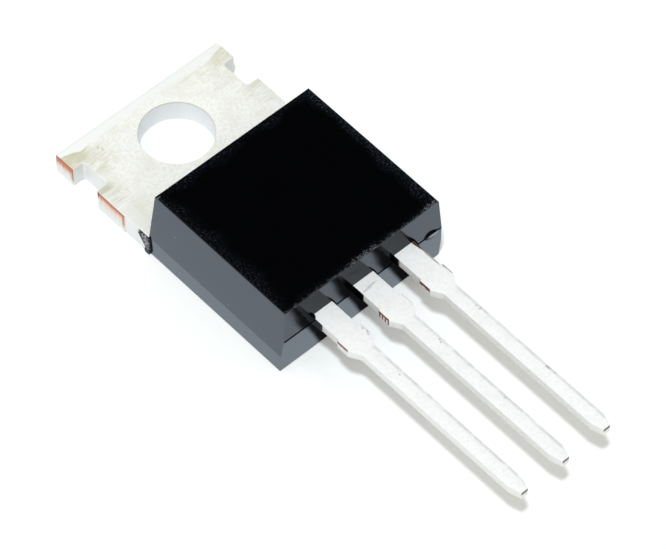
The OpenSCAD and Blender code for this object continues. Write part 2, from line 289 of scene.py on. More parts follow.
class RegulatorStageSettings(bpy.types.PropertyGroup):
    """Table, light and camera."""

    view_azimuth: bpy.props.FloatProperty(
        name="Azimuth", description="Direction of the camera round the part",
        default=math.radians(-42.33), unit="ROTATION")
    view_elevation: bpy.props.FloatProperty(
        name="Elevation", description="Height of the camera as an angle over the table",
        default=math.radians(54.0), unit="ROTATION")
    view_roll: bpy.props.FloatProperty(
        name="Roll", description="Turn of the camera about its own axis",
        default=math.radians(0.16), unit="ROTATION")
    view_distance: bpy.props.FloatProperty(
        name="Distance", description="Camera to the middle of the picture",
        default=0.2234, unit="LENGTH")
    view_target: bpy.props.FloatVectorProperty(
        name="Target", description="Middle of the picture on the part",
        default=(-0.000207, -0.011215, 0.00154), subtype="TRANSLATION", unit="LENGTH")
    lens: bpy.props.FloatProperty(
        name="Lens", description="Focal length of the camera, in millimetres", default=261.56)
    table_colour: bpy.props.FloatVectorProperty(
        name="Table", description="Colour of the white table",
        default=(0.92, 0.935, 0.94), subtype="COLOR", min=0, max=1)
    table_glow: bpy.props.FloatVectorProperty(
        name="Table glow", description="Light that the table adds where the camera sees it",
        default=(0.05, 0.052, 0.056), subtype="COLOR", min=0, max=1)
    table_lift: bpy.props.FloatProperty(
        name="Table lift", description="More light that the table adds beside the moulding",
        default=0.11, min=0)
    table_gloss: bpy.props.FloatVectorProperty(
        name="Table gloss", description="How much brighter the table is in reflections",
        default=(2.35, 2.5, 2.75), subtype="COLOR", min=0, max=4)
    key_strength: bpy.props.FloatProperty(
        name="Key", description="Strength of the small key light", default=1.76, min=0)
    key_colour: bpy.props.FloatVectorProperty(
        name="Key colour", description="Colour of the key light",
        default=(0.9, 0.96, 1.0), subtype="COLOR", min=0, max=1)
    room_colour: bpy.props.FloatVectorProperty(
        name="Room colour", description="Light of the pale room round the table",
        default=(0.61, 0.585, 0.525), subtype="COLOR", min=0, max=1)
    gloss_fill: bpy.props.FloatProperty(
        name="Fill in reflections", description="Share of the room's light on what is seen in a reflection",
        default=0.04, min=0, max=1, subtype="FACTOR")
    room_gloss: bpy.props.FloatProperty(
        name="Room gloss", description="Brightness of the room in reflections", default=0.45, min=0)
    unlit_gloss: bpy.props.FloatProperty(
        name="Unlit end", description="Brightness in reflections of the unlit end of the room",
        default=0.002, min=0)


class RegulatorMouldingSettings(bpy.types.PropertyGroup):
    """Moulding compound of the body."""

    colour: bpy.props.FloatVectorProperty(
        name="Compound", description="Colour of the black moulding compound",
        default=(0.0002, 0.0003, 0.0008), subtype="COLOR", min=0, max=1)
    grain: bpy.props.FloatVectorProperty(
        name="Grain", description="Colour of the pale grains round the rim of the top",
        default=(0.024, 0.033, 0.047), subtype="COLOR", min=0, max=1)
    torn: bpy.props.FloatVectorProperty(
        name="Torn skin", description="Colour of the torn skin of flash on the tab's edge",
        default=(0.38, 0.38, 0.39), subtype="COLOR", min=0, max=1)
    # This colour also paints highlights: in part along the top edge over the leads, and on the middle of the
    # torn flake
    pale: bpy.props.FloatVectorProperty(
        name="Chips", description="Colour of small chips and dust",
        default=(0.28, 0.305, 0.34), subtype="COLOR", min=0, max=1)
    side_roughness: bpy.props.FloatProperty(
        name="Side roughness", description="Roughness of the polished sides",
        default=0.12, min=0, max=1, subtype="FACTOR")
    top_roughness: bpy.props.FloatProperty(
        name="Top roughness", description="Roughness of the finely etched top",
        default=0.26, min=0, max=1, subtype="FACTOR")


class RegulatorPlatingSettings(bpy.types.PropertyGroup):
    """Tin plate, and the bare copper where it was cut."""

    tin: bpy.props.FloatVectorProperty(
        name="Tin", description="Colour of the matt tin plate",
        default=(0.98, 0.99, 0.995), subtype="COLOR", min=0, max=1)
    warm_tin: bpy.props.FloatVectorProperty(
        name="Warm tin", description="Colour of the tin plate where it is cloudy",
        default=(0.86, 0.855, 0.785), subtype="COLOR", min=0, max=1)
    lead_tin: bpy.props.FloatVectorProperty(
        name="Lead tin", description="Colour of the tin plate on the leads",
        default=(0.95, 0.965, 0.99), subtype="COLOR", min=0, max=1)
    dull_tin: bpy.props.FloatVectorProperty(
        name="Dull tin", description="Colour of the cloudy tin plate on the leads",
        default=(0.82, 0.83, 0.85), subtype="COLOR", min=0, max=1)
    # Partly greyer sheared tin, partly painted shade on the leads' upright sides
    lead_side_shade_tin: bpy.props.FloatVectorProperty(
        name="Lead side tin", description="Colour of the tin plate on the sheared sides of the leads",
        default=(0.84, 0.83, 0.815), subtype="COLOR", min=0, max=1)
    olive_tin: bpy.props.FloatVectorProperty(
        name="Olive tin", description="Colour of stained and scored tin plate",
        default=(0.62, 0.6, 0.45), subtype="COLOR", min=0, max=1)
    # Painted sheen: the slope at the tab's end and the end lugs' near rims take this paler tin
    slope_sheen_tin: bpy.props.FloatVectorProperty(
        name="Bright tin", description="Colour of the tin plate on the slope at the tab's end",
        default=(0.96, 0.985, 1.0), subtype="COLOR", min=0, max=1)
    # Painted shade: the tab's upright walls take this greyer tin
    wall_shade_tin: bpy.props.FloatVectorProperty(
        name="Wall tin", description="Colour of the tin plate on the tab's upright walls",
        default=(0.91, 0.925, 0.935), subtype="COLOR", min=0, max=1)
    # Painted shade: walls that face the tips and the notch walls take this darker tin
    notch_shade_tin: bpy.props.FloatVectorProperty(
        name="Notch tin", description="Colour of the tin plate on the walls of the notches",
        default=(0.76, 0.765, 0.74), subtype="COLOR", min=0, max=1)
    copper: bpy.props.FloatVectorProperty(
        name="Copper", description="Colour of bare copper",
        default=(0.56, 0.165, 0.055), subtype="COLOR", min=0, max=1)
    # Painted shade on the leads' rounded +X edges
    shaded: bpy.props.FloatVectorProperty(
        name="Worn edge", description="Colour of the worn edges of the leads",
        default=(0.5, 0.5, 0.5), subtype="COLOR", min=0, max=1)
    smear: bpy.props.FloatVectorProperty(
        name="Smear", description="Colour of copper smeared thinly over tin",
        default=(0.83, 0.52, 0.4), subtype="COLOR", min=0, max=1)
    tarnish: bpy.props.FloatVectorProperty(
        name="Tarnish", description="Colour of brown marks and specks",
        default=(0.1, 0.05, 0.038), subtype="COLOR", min=0, max=1)
    roughness: bpy.props.FloatProperty(
        name="Roughness", description="Roughness of the tin plate",
        default=0.5, min=0, max=1, subtype="FACTOR")
    metallic: bpy.props.FloatProperty(
        name="Metallic", description="How far the tin plate reflects as a metal",
        default=0.06, min=0, max=1, subtype="FACTOR")
    rolled_edge: bpy.props.FloatProperty(
        name="Rolled edge", description="Rounding that stamping left on the edges",
        default=0.03 * MM, min=0, unit="LENGTH")


class RegulatorInsideSettings(bpy.types.PropertyGroup):
    """Chip, solder and bond wires inside the moulding."""

    silicon: bpy.props.FloatVectorProperty(
        name="Silicon", description="Colour of the chip",
        default=(0.16, 0.17, 0.2), subtype="COLOR", min=0, max=1)
    solder: bpy.props.FloatVectorProperty(
        name="Solder", description="Colour of the solder under the chip",
        default=(0.5, 0.5, 0.49), subtype="COLOR", min=0, max=1)
    wire: bpy.props.FloatVectorProperty(
        name="Wire", description="Colour of the bond wires",
        default=(0.8, 0.81, 0.82), subtype="COLOR", min=0, max=1)


def new_material(name):
    """An empty material to write nodes in."""
    return Recipe(bpy.data.materials.new(name))


def dress(piece, material):
    """Gives a piece one material in all its slots."""
    piece.data.materials.clear()
    piece.data.materials.append(material)


def deselect():
    """Leaves nothing selected."""
    bpy.ops.object.select_all(action="DESELECT")


def worked_copy(node, name, edge, material):
    """A copy of a CAD piece with its sharp edges rounded, which stands in for the piece."""
    deselect()
    piece = bpy.data.objects.new(name, frame["nodes"][node].data.copy())
    bpy.context.collection.objects.link(piece)
    piece.select_set(True)
    bpy.context.view_layer.objects.active = piece
    bpy.ops.object.mode_set(mode="EDIT")
    bpy.ops.mesh.select_all(action="SELECT")
    bpy.ops.mesh.remove_doubles(threshold=MERGE_DISTANCE * MM)
    bpy.ops.mesh.dissolve_limited(angle_limit=FLAT_ANGLE)
    bpy.ops.object.mode_set(mode="OBJECT")
    rounding = piece.modifiers.new("rounding", "BEVEL")
    rounding.width = edge
    rounding.segments = 3
    rounding.limit_method = "ANGLE"
    rounding.angle_limit = ROUNDED_ANGLE
    rounding.use_clamp_overlap = False
    bpy.ops.object.modifier_apply(modifier=rounding.name)
    bpy.ops.object.shade_smooth_by_angle(angle=SMOOTH_ANGLE)
    dress(piece, material)
    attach(piece, "root")
    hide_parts(node)
    return piece


def add_key_lamp(stage):
    """A small, distant lamp that shines at the middle of the part."""
    bpy.ops.object.light_add(type="SUN")
    lamp = bpy.context.object
    lamp.name = "key"
    toward = Vector(KEY_FROM).normalized()
    middle = (CAD_BOX[0] + CAD_BOX[1]) / 2
    lamp.location = middle + toward * KEY_DISTANCE
    lamp.rotation_mode = "QUATERNION"
    lamp.rotation_quaternion = toward.to_track_quat("Z", "Y")
    lamp.data.energy = stage.key_strength
    lamp.data.angle = KEY_WIDTH
    lamp.data.color = stage.key_colour


def table_material(stage):
    """White table, which glows a little for the camera, is brighter in reflections and keeps the shadow."""
    recipe = new_material("white_table")
    camera_ray = recipe.node("ShaderNodeLightPath", out="Is Camera Ray")
    gloss_ray = camera_ray.other("Is Glossy Ray")
    bright = [level * gain for level, gain in zip(stage.table_colour, stage.table_gloss)]
    colour = recipe.mix(gloss_ray, stage.table_colour, bright)
    # What is seen in a reflection gets no light from the table
    mirrored = recipe.rise(camera_ray.other("Glossy Depth"), 0, 1)
    scattered = recipe.rise(camera_ray.other("Diffuse Depth"), 0, 1)
    colour = recipe.mix(mirrored & scattered, colour, (0, 0, 0))
    matt = recipe.node("ShaderNodeBsdfDiffuse", {}, {"Color": colour})
    lifted = [level + stage.table_lift for level in stage.table_glow]
    glow = recipe.node("ShaderNodeEmission", {}, {
        "Color": recipe.mix(beside_moulding(recipe), stage.table_glow, lifted),
        "Strength": camera_ray,
    })
    return recipe.surface(recipe.node("ShaderNodeAddShader", {}, {0: matt, 1: glow}))


def beside_moulding(recipe):
    """Where the table is close to the moulding, and less so among the leads."""
    x, y, _ = recipe.split(recipe.spot())
    past_side = abs(x) - BODY_HALF
    past_end = abs(y - (TAB_FACE + LEAD_FACE) / 2) - (TAB_FACE - LEAD_FACE) / 2
    among_leads = recipe.rise(abs(x), 4.2, 3.6) * recipe.rise(y, LEAD_FACE + 1, LEAD_FACE)
    return recipe.rise(past_side | past_end, 6, 0) * recipe.blend(among_leads, 1.0, 0.6)


def light_room(stage):
    """Pale room: an even fill light, white to the camera, with one unlit end in reflections."""
    world = bpy.data.worlds.new("pale_room")
    world.cycles.sampling_method = "NONE"
    bpy.context.scene.world = world
    recipe = Recipe(world)
    camera_ray = recipe.node("ShaderNodeLightPath", out="Is Camera Ray")
    gloss_ray = camera_ray.other("Is Glossy Ray")
    heading = recipe.node("ShaderNodeTexCoord", out="Generated")
    unlit = recipe.node(
        "ShaderNodeVectorMath", {"operation": "DOT_PRODUCT"}, {0: heading, 1: UNLIT_END}, out="Value")
    level = recipe.blend(recipe.rise(unlit, 0.45, 0.85), stage.room_gloss, stage.unlit_gloss)
    mirrored = recipe.rise(camera_ray.other("Glossy Depth"), 0, 1)
    fill = recipe.node("ShaderNodeBackground", {}, {
        "Color": as_colour(stage.room_colour),
        "Strength": recipe.blend(mirrored, 1.0, stage.gloss_fill),
    })
    gloss = recipe.node("ShaderNodeBackground", {}, {"Color": WHITE, "Strength": level})
    white = recipe.node("ShaderNodeBackground", {}, {"Color": WHITE, "Strength": 1.0})
    unseen = recipe.node("ShaderNodeMixShader", {}, {0: gloss_ray, 1: fill, 2: gloss})
    recipe.surface(recipe.node("ShaderNodeMixShader", {}, {0: camera_ray, 1: unseen, 2: white}))


class REGULATOR_OT_stage(bpy.types.Operator):
    """Set the part on a white table, under soft studio light, before a camera"""

    bl_idname = "regulator.stage"
    bl_label = "Table, Light and Camera"

    def execute(self, context):
        stage = context.scene.regulator_stage
        deselect()
        bpy.ops.mesh.primitive_plane_add(size=TABLE_SIZE, location=(0, 0, CAD_BOX[0].z))
        table = context.object
        table.name = "table"
        bpy.ops.object.transform_apply(location=True)
        dress(table, table_material(stage))
        light_room(stage)
        add_key_lamp(stage)
        self.add_camera(context, stage)
        return {"FINISHED"}

    def add_camera(self, context, stage):
        """The camera, turned at its target from the given angles."""
        bpy.ops.object.camera_add()
        camera = context.object
        flat = math.cos(stage.view_elevation)
        back = Vector((
            math.sin(stage.view_azimuth) * flat,
            -math.cos(stage.view_azimuth) * flat,
            math.sin(stage.view_elevation),
        ))
        camera.name = "camera"
        camera.location = Vector(stage.view_target) + back * stage.view_distance
        turn = (-back).to_track_quat("-Z", "Y").to_matrix() @ Matrix.Rotation(stage.view_roll, 3, "Z")
        camera.rotation_euler = turn.to_euler()
        camera.data.lens = stage.lens
        camera.data.clip_start = NEAREST_SEEN
        camera.data.clip_end = FURTHEST_SEEN
        context.scene.camera = camera
        context.scene.view_settings.view_transform = "Standard"


def moulding_material(moulding):
    """Black moulding compound: polished sides, a grainy rim on the top, an edge with chips and a painted
    highlight, torn flash, and a painted highlight on the flake at the joint line.
    """
    recipe = new_material("black_compound")
    spot = recipe.spot()
    z = recipe.split(spot)[2]
    up = recipe.rise(recipe.facing()[2], 0.8, 0.95)
    grain = recipe.noise(spot, (0.1, 0.1, 0.1), detail=3, rough=0.6)
    cloud = recipe.noise(spot, (1.6, 1.6, 1.6))
    scaly = recipe.noise(spot, (0.2, 0.11, 0.14), detail=4, shift=(3, 7, 1), rough=0.65)
    chips_and_highlight = edge_chips_and_highlight(recipe, spot)
    torn = torn_skin(recipe, spot)
    colour = recipe.mix(rim_grains(recipe, spot, up, grain, cloud), moulding.colour, moulding.grain)
    scales = torn * recipe.rise(scaly, 0.45, 0.6) * recipe.rise(z, 0.35, 0.5)
    colour = recipe.mix(scales, colour, moulding.torn)
    # Painted highlights take the chips' colour too: in part along the top edge over the leads, and on the
    # flake's middle
    pale = chips_and_highlight | moulding_dust(recipe, spot) * 0.3 | flake_highlight(recipe, spot)
    colour = recipe.mix(pale, colour, moulding.pale)
    roughness = recipe.blend(up, moulding.side_roughness, moulding.top_roughness) + (cloud - 0.5) * 0.06
    return recipe.finish({
        "Base Color": colour,
        "Roughness": recipe.blend(torn | chips_and_highlight, roughness, 0.6),
        "IOR": 1.5,
        "Normal": recipe.bump(recipe.blend(torn, grain * 0.08, scaly), 0.04, 0.7),
    })


def rim_grains(recipe, spot, up, grain, cloud):
    """Pale grains round the rim of the top: fewer at its lead end and more along its +X side."""
    x, y, _ = recipe.split(spot)
    from_sides = (x + BODY_HALF) / GRAIN_RIM_LEFT & (BODY_HALF - x) / GRAIN_RIM_RIGHT
    from_ends = (TAB_FACE - y) / GRAIN_RIM_TAB_END & (y - LEAD_FACE) / GRAIN_RIM_LEAD_END
    rim = recipe.rise((from_sides & from_ends) + (cloud - 0.5) * 1.4, 1.1, 0.3)
    lead_end = recipe.rise(y, LEAD_FACE + 1.2, LEAD_FACE + 0.5)
    right_side = recipe.rise(x, BODY_HALF - 1.2, BODY_HALF - 0.4)
    grains = up * rim * recipe.blend(recipe.rise(grain, 0.51, 0.67), 0.06, 1.0)
    return grains * recipe.blend(lead_end, 1.0, 0.6) * recipe.blend(right_side, 0.75, 1.8)


def edge_chips_and_highlight(recipe, spot):
    """Chips along the top's edge over the leads, worst by the middle lead and at the +X corner; their pale
    colour is partly a painted highlight where the rounded edge catches the light.
    """
    x, y, z = recipe.split(spot)
    ragged = recipe.noise(spot, (0.22, 0.22, 0.22), detail=3, shift=(6, 2, 8), rough=0.6) - 0.5
    worst = recipe.within(x, -0.3, 0.5, 0.6) | recipe.within(x, 4.1, 4.9, 0.3)
    high = recipe.rise(z + ragged * 0.5, BODY_TOP - 0.09, BODY_TOP - 0.04)
    near = recipe.rise(y - ragged * 0.7 - worst * 0.1, LEAD_FACE + 0.2, LEAD_FACE + 0.13)
    chips = recipe.rise(recipe.noise(spot, (0.12, 0.05, 0.05), detail=3, rough=0.7), 0.45, 0.62)
    return (high & near) * chips * recipe.blend(worst, 0.17, 0.42)


def torn_skin(recipe, spot):
    """The skin of flash on the tab's edge, which is all that stands out past the -X side."""
    x, _, z = recipe.split(spot)
    outside = recipe.rise(x, -BODY_HALF - 0.02, -BODY_HALF - 0.05)
    return outside & recipe.rise(z, TAB_T + 0.04, TAB_T - 0.01)


def flake_highlight(recipe, spot):
    """Paler middle of the torn flake that stands out of the moulding's joint line: a painted highlight where
    its tilted face catches the light.
    """
    x, y, z = recipe.split(spot)
    middle = recipe.within(x, BODY_HALF - 0.9, BODY_HALF - 0.45, 0.2)
    outside = recipe.rise(y, LEAD_FACE - 0.07, LEAD_FACE - 0.1)
    return middle * outside * recipe.rise(z, JOINT_Z + 0.02, JOINT_Z + 0.05)


def moulding_dust(recipe, spot):
    """Specks of dust on the moulding's -X side."""
    side = -BODY_HALF
    places = (side + 0.1, -5.5, 2.9), (side, -9.3, 1.6), (side, -5.9, 0.6), (side + 0.2, -4.2, BODY_TOP)
    return recipe.marks(spot, places, (0.3, 0.07, 0.07))


class REGULATOR_OT_moulding(bpy.types.Operator):
    """Finish the black moulding"""

    bl_idname = "regulator.moulding"
    bl_label = "Moulded Body"

    def execute(self, context):
        dress(frame["nodes"]["moulded_body"], moulding_material(context.scene.regulator_moulding))
        return {"FINISHED"}


def plating_material(plating):
    """Matt tin plate over copper, which shows where the strip was cut."""
    recipe = new_material("tin_plate")
    spot = recipe.spot()
    grain = recipe.noise(spot, (0.16, 0.16, 0.16), detail=3, rough=0.6)
    colour, scored = tab_tone(recipe, plating, spot, tin_tone(recipe, plating, spot, grain))
    colour = recipe.mix(lug_smear(recipe, spot), colour, plating.smear)
    bare = cut_lugs(recipe, spot) | cut_dams(recipe, spot)
    colour = recipe.mix(bare, colour, plating.copper)
    browned = lead_marks(recipe, spot) | cut_tips(recipe, spot) | lug_tarnish(recipe, spot)
    colour = recipe.mix(browned, colour, plating.tarnish)
    # Painted shade along the leads' rounded +X edges
    colour = recipe.mix(painted_edge_shade(recipe, spot), colour, plating.shaded)
    return recipe.finish({
        "Base Color": colour,
        "Roughness": recipe.blend(bare, plating.roughness + (grain - 0.5) * 0.12, 0.42),
        "Metallic": recipe.blend(bare, plating.metallic, 0.25),
        "Normal": recipe.bump(grain * 0.6 - scored * 0.4, 0.008, 0.8),
    })


def tin_tone(recipe, plating, spot, grain):
    """Colour of the tin plate: cloudy, greyer on the leads, and with painted shade on the upright walls, on
    walls that face the tips, in the notches and on the sides of the leads.
    """
    x, _, z = recipe.split(spot)
    cloud = recipe.noise(spot, (0.9, 0.9, 0.9), detail=3, shift=(5, 1, 9))
    facing = recipe.facing()
    on_leads = recipe.rise(z, TAB_T + 0.5, TAB_T + 0.8)
    upright = recipe.rise(abs(facing[2]), 0.8, 0.5)
    in_notch = recipe.rise(abs(x), 4.0, 4.4)
    to_tips = recipe.rise(facing[1], -0.5, -0.9) * recipe.blend(in_notch, 0.3, 1.0)
    clouded = recipe.rise(cloud, 0.42, 0.75) * recipe.blend(on_leads, 0.65, 0.3)
    speckled = recipe.rise(grain, 0.57, 0.37) * recipe.blend(on_leads, 0.75, 0.35)
    clean = recipe.mix(on_leads, plating.tin, plating.lead_tin)
    dull = recipe.mix(on_leads, plating.warm_tin, plating.dull_tin)
    colour = recipe.mix(clouded, clean, dull)
    colour = recipe.mix(speckled, colour, dull)
    # Painted shade on upright walls
    colour = recipe.mix(upright, colour, plating.wall_shade_tin)
    # Deeper painted shade on walls that face the tips and in the notches
    colour = recipe.mix(upright * (to_tips | in_notch * 0.35), colour, plating.notch_shade_tin)
    # Sides of the leads: greyer sheared tin with painted shade
    return recipe.mix(upright * on_leads, colour, plating.lead_side_shade_tin)


def tab_tone(recipe, plating, spot, tin):
    """Colour of the tab's face with its pale slope and lug rims as a painted sheen, olive stains and scores,
    and the scores' mask.
    """
    y, z = recipe.split(spot)[1:]
    up = recipe.rise(recipe.facing()[2], 0.7, 0.9) & recipe.rise(z, TAB_T + 0.3, TAB_T + 0.1)
    cloud = recipe.noise(spot, (0.6, 0.25, 0.4), detail=3, shift=(2, 4, 6))
    past_foot = past_slope_foot(recipe, spot, cloud)
    scored = tab_scores(recipe, spot, up, cloud, past_foot)
    ticks = recipe.marks(spot, ((-3.24, 1.6, TAB_T), (-3.34, 1.82, TAB_T)), (0.05, 0.14, 0.1))
    end_line = recipe.rise(y, TAB_END - 0.14, TAB_END - 0.08)
    # Painted sheen on the slope at the tab's end
    colour = recipe.mix(up * end_slope_sheen(recipe, spot, past_foot), tin, plating.slope_sheen_tin)
    # The walls' shaded tin also lays a thin line along the tab's far end
    colour = recipe.mix(up * end_line, colour, plating.wall_shade_tin)
    colour = recipe.mix(up * olive_stains(recipe, spot, cloud, past_foot) * 0.85, colour, plating.olive_tin)
    lines = (scored * 0.7 | ticks * 0.8) & up | hole_rim(recipe, spot) * 0.6
    return recipe.mix(lines, colour, plating.olive_tin), scored


def past_slope_foot(recipe, spot, cloud):
    """Distance past the wavy foot of the slope at the tab's end, which lies further out on the lugs."""
    x, y, _ = recipe.split(spot)
    return y - SLOPE_FOOT + 0.08 - 0.3 * recipe.rise(abs(x), 3.8, 5.0) + (cloud - 0.5) * 0.3


def end_slope_sheen(recipe, spot, past_foot):
    """Painted sheen: the pale slope at the tab's end, paler where it reflects the bright room, with a
    sharper foot at -X, and a painted highlight on the near rims of the end lugs.
    """
    x, y, _ = recipe.split(spot)
    soft_foot = recipe.rise(past_foot, -0.1, 0.4)
    sharp_foot = recipe.rise(past_foot, 0.0, 0.12)
    lug_rim = recipe.rise(y, END_LUG_STOP + 0.1, END_LUG_STOP + 0.05) * recipe.rise(abs(x), 4.3, 4.4)
    return recipe.blend(recipe.rise(x, -1.6, -3.2), soft_foot, sharp_foot) | lug_rim


def olive_stains(recipe, spot, cloud, past_foot):
    """Olive stains on the lugs, beside the moulding and in from the notches, fainter at +X."""
    x, y, _ = recipe.split(spot)
    out = abs(x)
    end_lugs = recipe.rise(past_foot, 0.04, -0.04) * recipe.rise(y, 1.2, 1.9) * recipe.rise(out, 3.3, 4.4)
    side_lugs = recipe.within(y, SIDE_LUG_START - 0.28, SIDE_LUG_START, 0.12) * recipe.rise(out, 3.9, 4.6)
    right_lug = recipe.within(y, SIDE_LUG_STOP, SIDE_LUG_START, 0.1) * recipe.rise(x, 4.3, 4.9)
    round_lugs = recipe.within(y, SIDE_LUG_START - 1.2, SIDE_LUG_START, 0.3) * recipe.rise(out, 3.7, 4.6)
    side_lugs = side_lugs | right_lug * 0.6 | round_lugs * 0.35
    beside_body = recipe.within(y, TAB_FACE, SIDE_LUG_STOP + 0.2, 0.3) * recipe.rise(out, 3.2, 4.6)
    inner = recipe.within(y, 0.8, 1.9, 0.4) * recipe.rise(out, 2.5, 3.6)
    olive = end_lugs | side_lugs | beside_body * 0.35 | inner * recipe.rise(cloud, 0.35, 0.6) * 0.45
    cloudy = recipe.blend(recipe.rise(cloud, 0.3, 0.5), 0.7, 1.0)
    return olive * cloudy * recipe.blend(recipe.rise(x, -1, 1), 1.0, 0.55)


def tab_scores(recipe, spot, up, cloud, past_foot):
    """Fine scores across the tab by its lugs and notches, and a line along the foot of its slope."""
    x, y, _ = recipe.split(spot)
    out = abs(x)
    right = recipe.rise(x, -1, 1)
    lines = recipe.noise(spot, (0.7, 0.03, 0.4), detail=2)
    by_lugs = recipe.within(y, SIDE_LUG_STOP + 0.4, SIDE_LUG_START, 0.3) * recipe.rise(out, 3.3, 4.4)
    by_notches = recipe.within(y, 0.6, 1.9, 0.5) * recipe.rise(out, 2.4, 3.6)
    scored = up * (by_lugs | by_notches * 0.8) * recipe.rise(lines, 0.5, 0.66)
    scored = scored * recipe.blend(right, 1.0, 0.85)
    foot_line = recipe.within(past_foot, -0.07, -0.02, 0.07) * recipe.rise(out, 1.4, 2.4)
    foot_line = foot_line * recipe.blend(right, 1.0, 0.5)
    return scored | up * foot_line * recipe.rise(cloud, 0.42, 0.55) * 0.8


def hole_rim(recipe, spot):
    """Fine line round the edge of the mounting hole."""
    from_axis = recipe.length(recipe.stretch(spot, FLATTENED))
    line = recipe.within(from_axis, HOLE_R - 0.02, HOLE_R + 0.01, 0.02)
    return line * recipe.rise(recipe.split(spot)[2], TAB_T - 0.13, TAB_T - 0.04)


def lug_face(recipe, spot):
    """The cut faces at the ends of the tab's lugs."""
    out = abs(recipe.split(spot)[0])
    sideways = recipe.rise(abs(recipe.facing()[0]), 0.6, 0.8)
    return recipe.rise(out, TAB_HALF - 0.04, TAB_HALF - 0.015) * sideways


def lug_drop(recipe, spot):
    """Distance down a lug's cut face from its top edge, which is lower on the end lugs, and drips."""
    y, z = recipe.split(spot)[1:]
    edge = TAB_T - 0.07 * recipe.rise(y, SIDE_LUG_START, END_LUG_STOP)
    drips = recipe.noise(spot, (0.3, 0.07, 1.4), detail=3, rough=0.7)
    return edge - z, drips


def lug_smear(recipe, spot):
    """Copper smeared down over the tin of the lugs' cut faces."""
    drop, drips = lug_drop(recipe, spot)
    return lug_face(recipe, spot) * recipe.rise(drop - (drips - 0.5) * 1.2, 1.0, 0.2) * 0.8


def cut_lugs(recipe, spot):
    """Bare copper on the lugs' cut faces: a band under the top edge, and an upright one at the near end."""
    y, z = recipe.split(spot)[1:]
    drop, drips = lug_drop(recipe, spot)
    ragged = drop - (drips - 0.5) * 0.6
    end_lug = recipe.rise(y, SIDE_LUG_START, END_LUG_STOP)
    band = recipe.blend(end_lug, recipe.rise(ragged, 0.4, 0.14), recipe.rise(ragged, 0.62, 0.22))
    end_lug_end = recipe.within(y, END_LUG_STOP + 0.04, END_LUG_STOP + 0.12, 0.08)
    side_lug_end = recipe.within(y, SIDE_LUG_STOP, SIDE_LUG_STOP + 0.13, 0.07)
    upright = (end_lug_end | side_lug_end) * recipe.rise(z + (drips - 0.5) * 0.4, 0.1, 0.6) * 0.85
    return lug_face(recipe, spot) * (band | upright)


def lug_tarnish(recipe, spot):
    """Dark line under the lugs' top edges, far corners of the side lugs and upright ends of the end lugs."""
    y, z = recipe.split(spot)[1:]
    drop, drips = lug_drop(recipe, spot)
    line = recipe.within(drop, 0.05, 0.07, 0.05) * 0.35
    corner = recipe.rise(y, SIDE_LUG_START - 0.22, SIDE_LUG_START - 0.12)
    corner = corner & recipe.rise(y, SIDE_LUG_START + 0.2, SIDE_LUG_START + 0.1)
    corner = corner * recipe.rise(drop, 0.5, 0.2) * 0.85
    far_end = recipe.rise(y, TAB_END - 0.13, TAB_END - 0.05) * recipe.rise(drop, 1.0, 0.3) * 0.7
    near_end = recipe.rise(y, END_LUG_STOP + 0.07, END_LUG_STOP + 0.03)
    near_end = near_end * recipe.rise(y, SIDE_LUG_START, END_LUG_STOP)
    near_end = near_end * recipe.rise(z + (drips - 0.5) * 0.3, 0.15, 0.4) * 0.6
    return lug_face(recipe, spot) * (line | corner | far_end | near_end)


def beside_leads(recipe, spot):
    """Distance from the middle line of the nearest lead, in millimetres."""
    out = abs(recipe.split(spot)[0])
    return out & abs(out - PITCH)


def cut_dams(recipe, spot):
    """Bare copper where the dam bar was cut from the leads.

    It is a band along the top, which is deeper on the output lead and runs down in bars on the ground lead.
    """
    x, y, z = recipe.split(spot)
    stub = recipe.rise(beside_leads(recipe, spot), STUB_HALF - 0.03, STUB_HALF - 0.01)
    stub = stub * recipe.within(y, DAM_STOP + 0.05, DAM_START, 0.02)
    ground_lead = recipe.rise(abs(x), PITCH / 2 + 0.1, PITCH / 2 - 0.1)
    output_lead = recipe.rise(x, PITCH / 2 - 0.1, PITCH / 2 + 0.1)
    drips = recipe.noise(spot, (0.5, 0.09, 1.5), detail=2, shift=(0, 0.03, 0))
    top = recipe.rise(z + (drips - 0.5) * 0.15, LEAD_TOP - 0.14, LEAD_TOP - 0.1)
    lower = recipe.rise(z + (drips - 0.5) * 0.25, LEAD_TOP - 0.22, LEAD_TOP - 0.14) * output_lead
    row = ((y - DAM_START) / COPPER_BAR_PITCH + (drips - 0.5) * 0.5) % 1
    bars = recipe.rise(abs(row - 0.5), 0.3, 0.2)
    bars = bars * recipe.rise(z + drips * 0.3, LEAD_TOP - 0.28, LEAD_TOP - 0.2) * ground_lead
    return stub * (top | lower | bars)


def painted_edge_shade(recipe, spot):
    """Painted shade: grey line along the +X edge of each lead, where its rounded edge turns away from the
    light.
    """
    x, y, z = recipe.split(spot)
    across = (x + PITCH * 1.5) % PITCH - PITCH / 2
    flecks = recipe.noise(spot, (0.2, 0.5, 0.2), detail=2, shift=(7, 3, 5))
    edge = recipe.within(across, SHAFT_HALF - 0.1, SHAFT_HALF - 0.03, 0.1)
    edge = edge * recipe.rise(y, DAM_STOP - 0.4, DAM_STOP - 0.7)
    edge = edge * recipe.rise(z, LEAD_TOP - 0.15, LEAD_TOP - 0.05)
    return edge * recipe.rise(flecks, 0.25, 0.6) * 0.45


def cut_tips(recipe, spot):
    """Tarnished copper along the top of the leads' cut ends."""
    y, z = recipe.split(spot)[1:]
    back = recipe.rise(recipe.facing()[1], -0.6, -0.8) * recipe.rise(y, TIP_Y + 0.12, TIP_Y + 0.06)
    return back * recipe.rise(z, LEAD_TOP - 0.24, LEAD_TOP - 0.14) * 0.9


